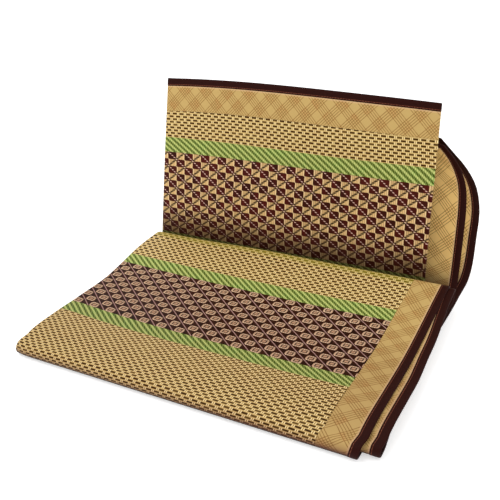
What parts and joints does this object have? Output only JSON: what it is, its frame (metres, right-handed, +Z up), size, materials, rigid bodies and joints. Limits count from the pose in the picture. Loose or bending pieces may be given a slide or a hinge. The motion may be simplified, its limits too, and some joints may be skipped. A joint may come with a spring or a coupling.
{
  "type": "sleeping mat",
  "caption": "Woven summer sleeping mat with a bound lattice border, folded into a flat stack whose last length stands up behind as a leaning panel with an open loop at its side.",
  "frame": {"origin": "middle of the underside of the whole folded mat, on the floor", "axes": "+Z up, +X along the front fold towards the bound edges, -Y towards the front fold, the panel standing at +Y"},
  "size_m": [0.5364, 0.5086, 0.288],
  "materials": {
    "woven_field": "woven strips in tan, green and dark brown bands, low sheen",
    "border": "fine golden cloth with a crossed line lattice",
    "binding": "dark brown binding tape, slightly glossy, stitched near its inner edge"
  },
  "bodies": {
    "root": {"Woven_field": "woven_field", "Border_edge_one": "border", "Border_edge_two": "border", "Border_head": "border", "Border_tucked_end": "border", "Binding_edge_one": "binding", "Binding_edge_two": "binding", "Binding_head": "binding", "Binding_tucked_end": "binding"}
  },
  "joints": []
}
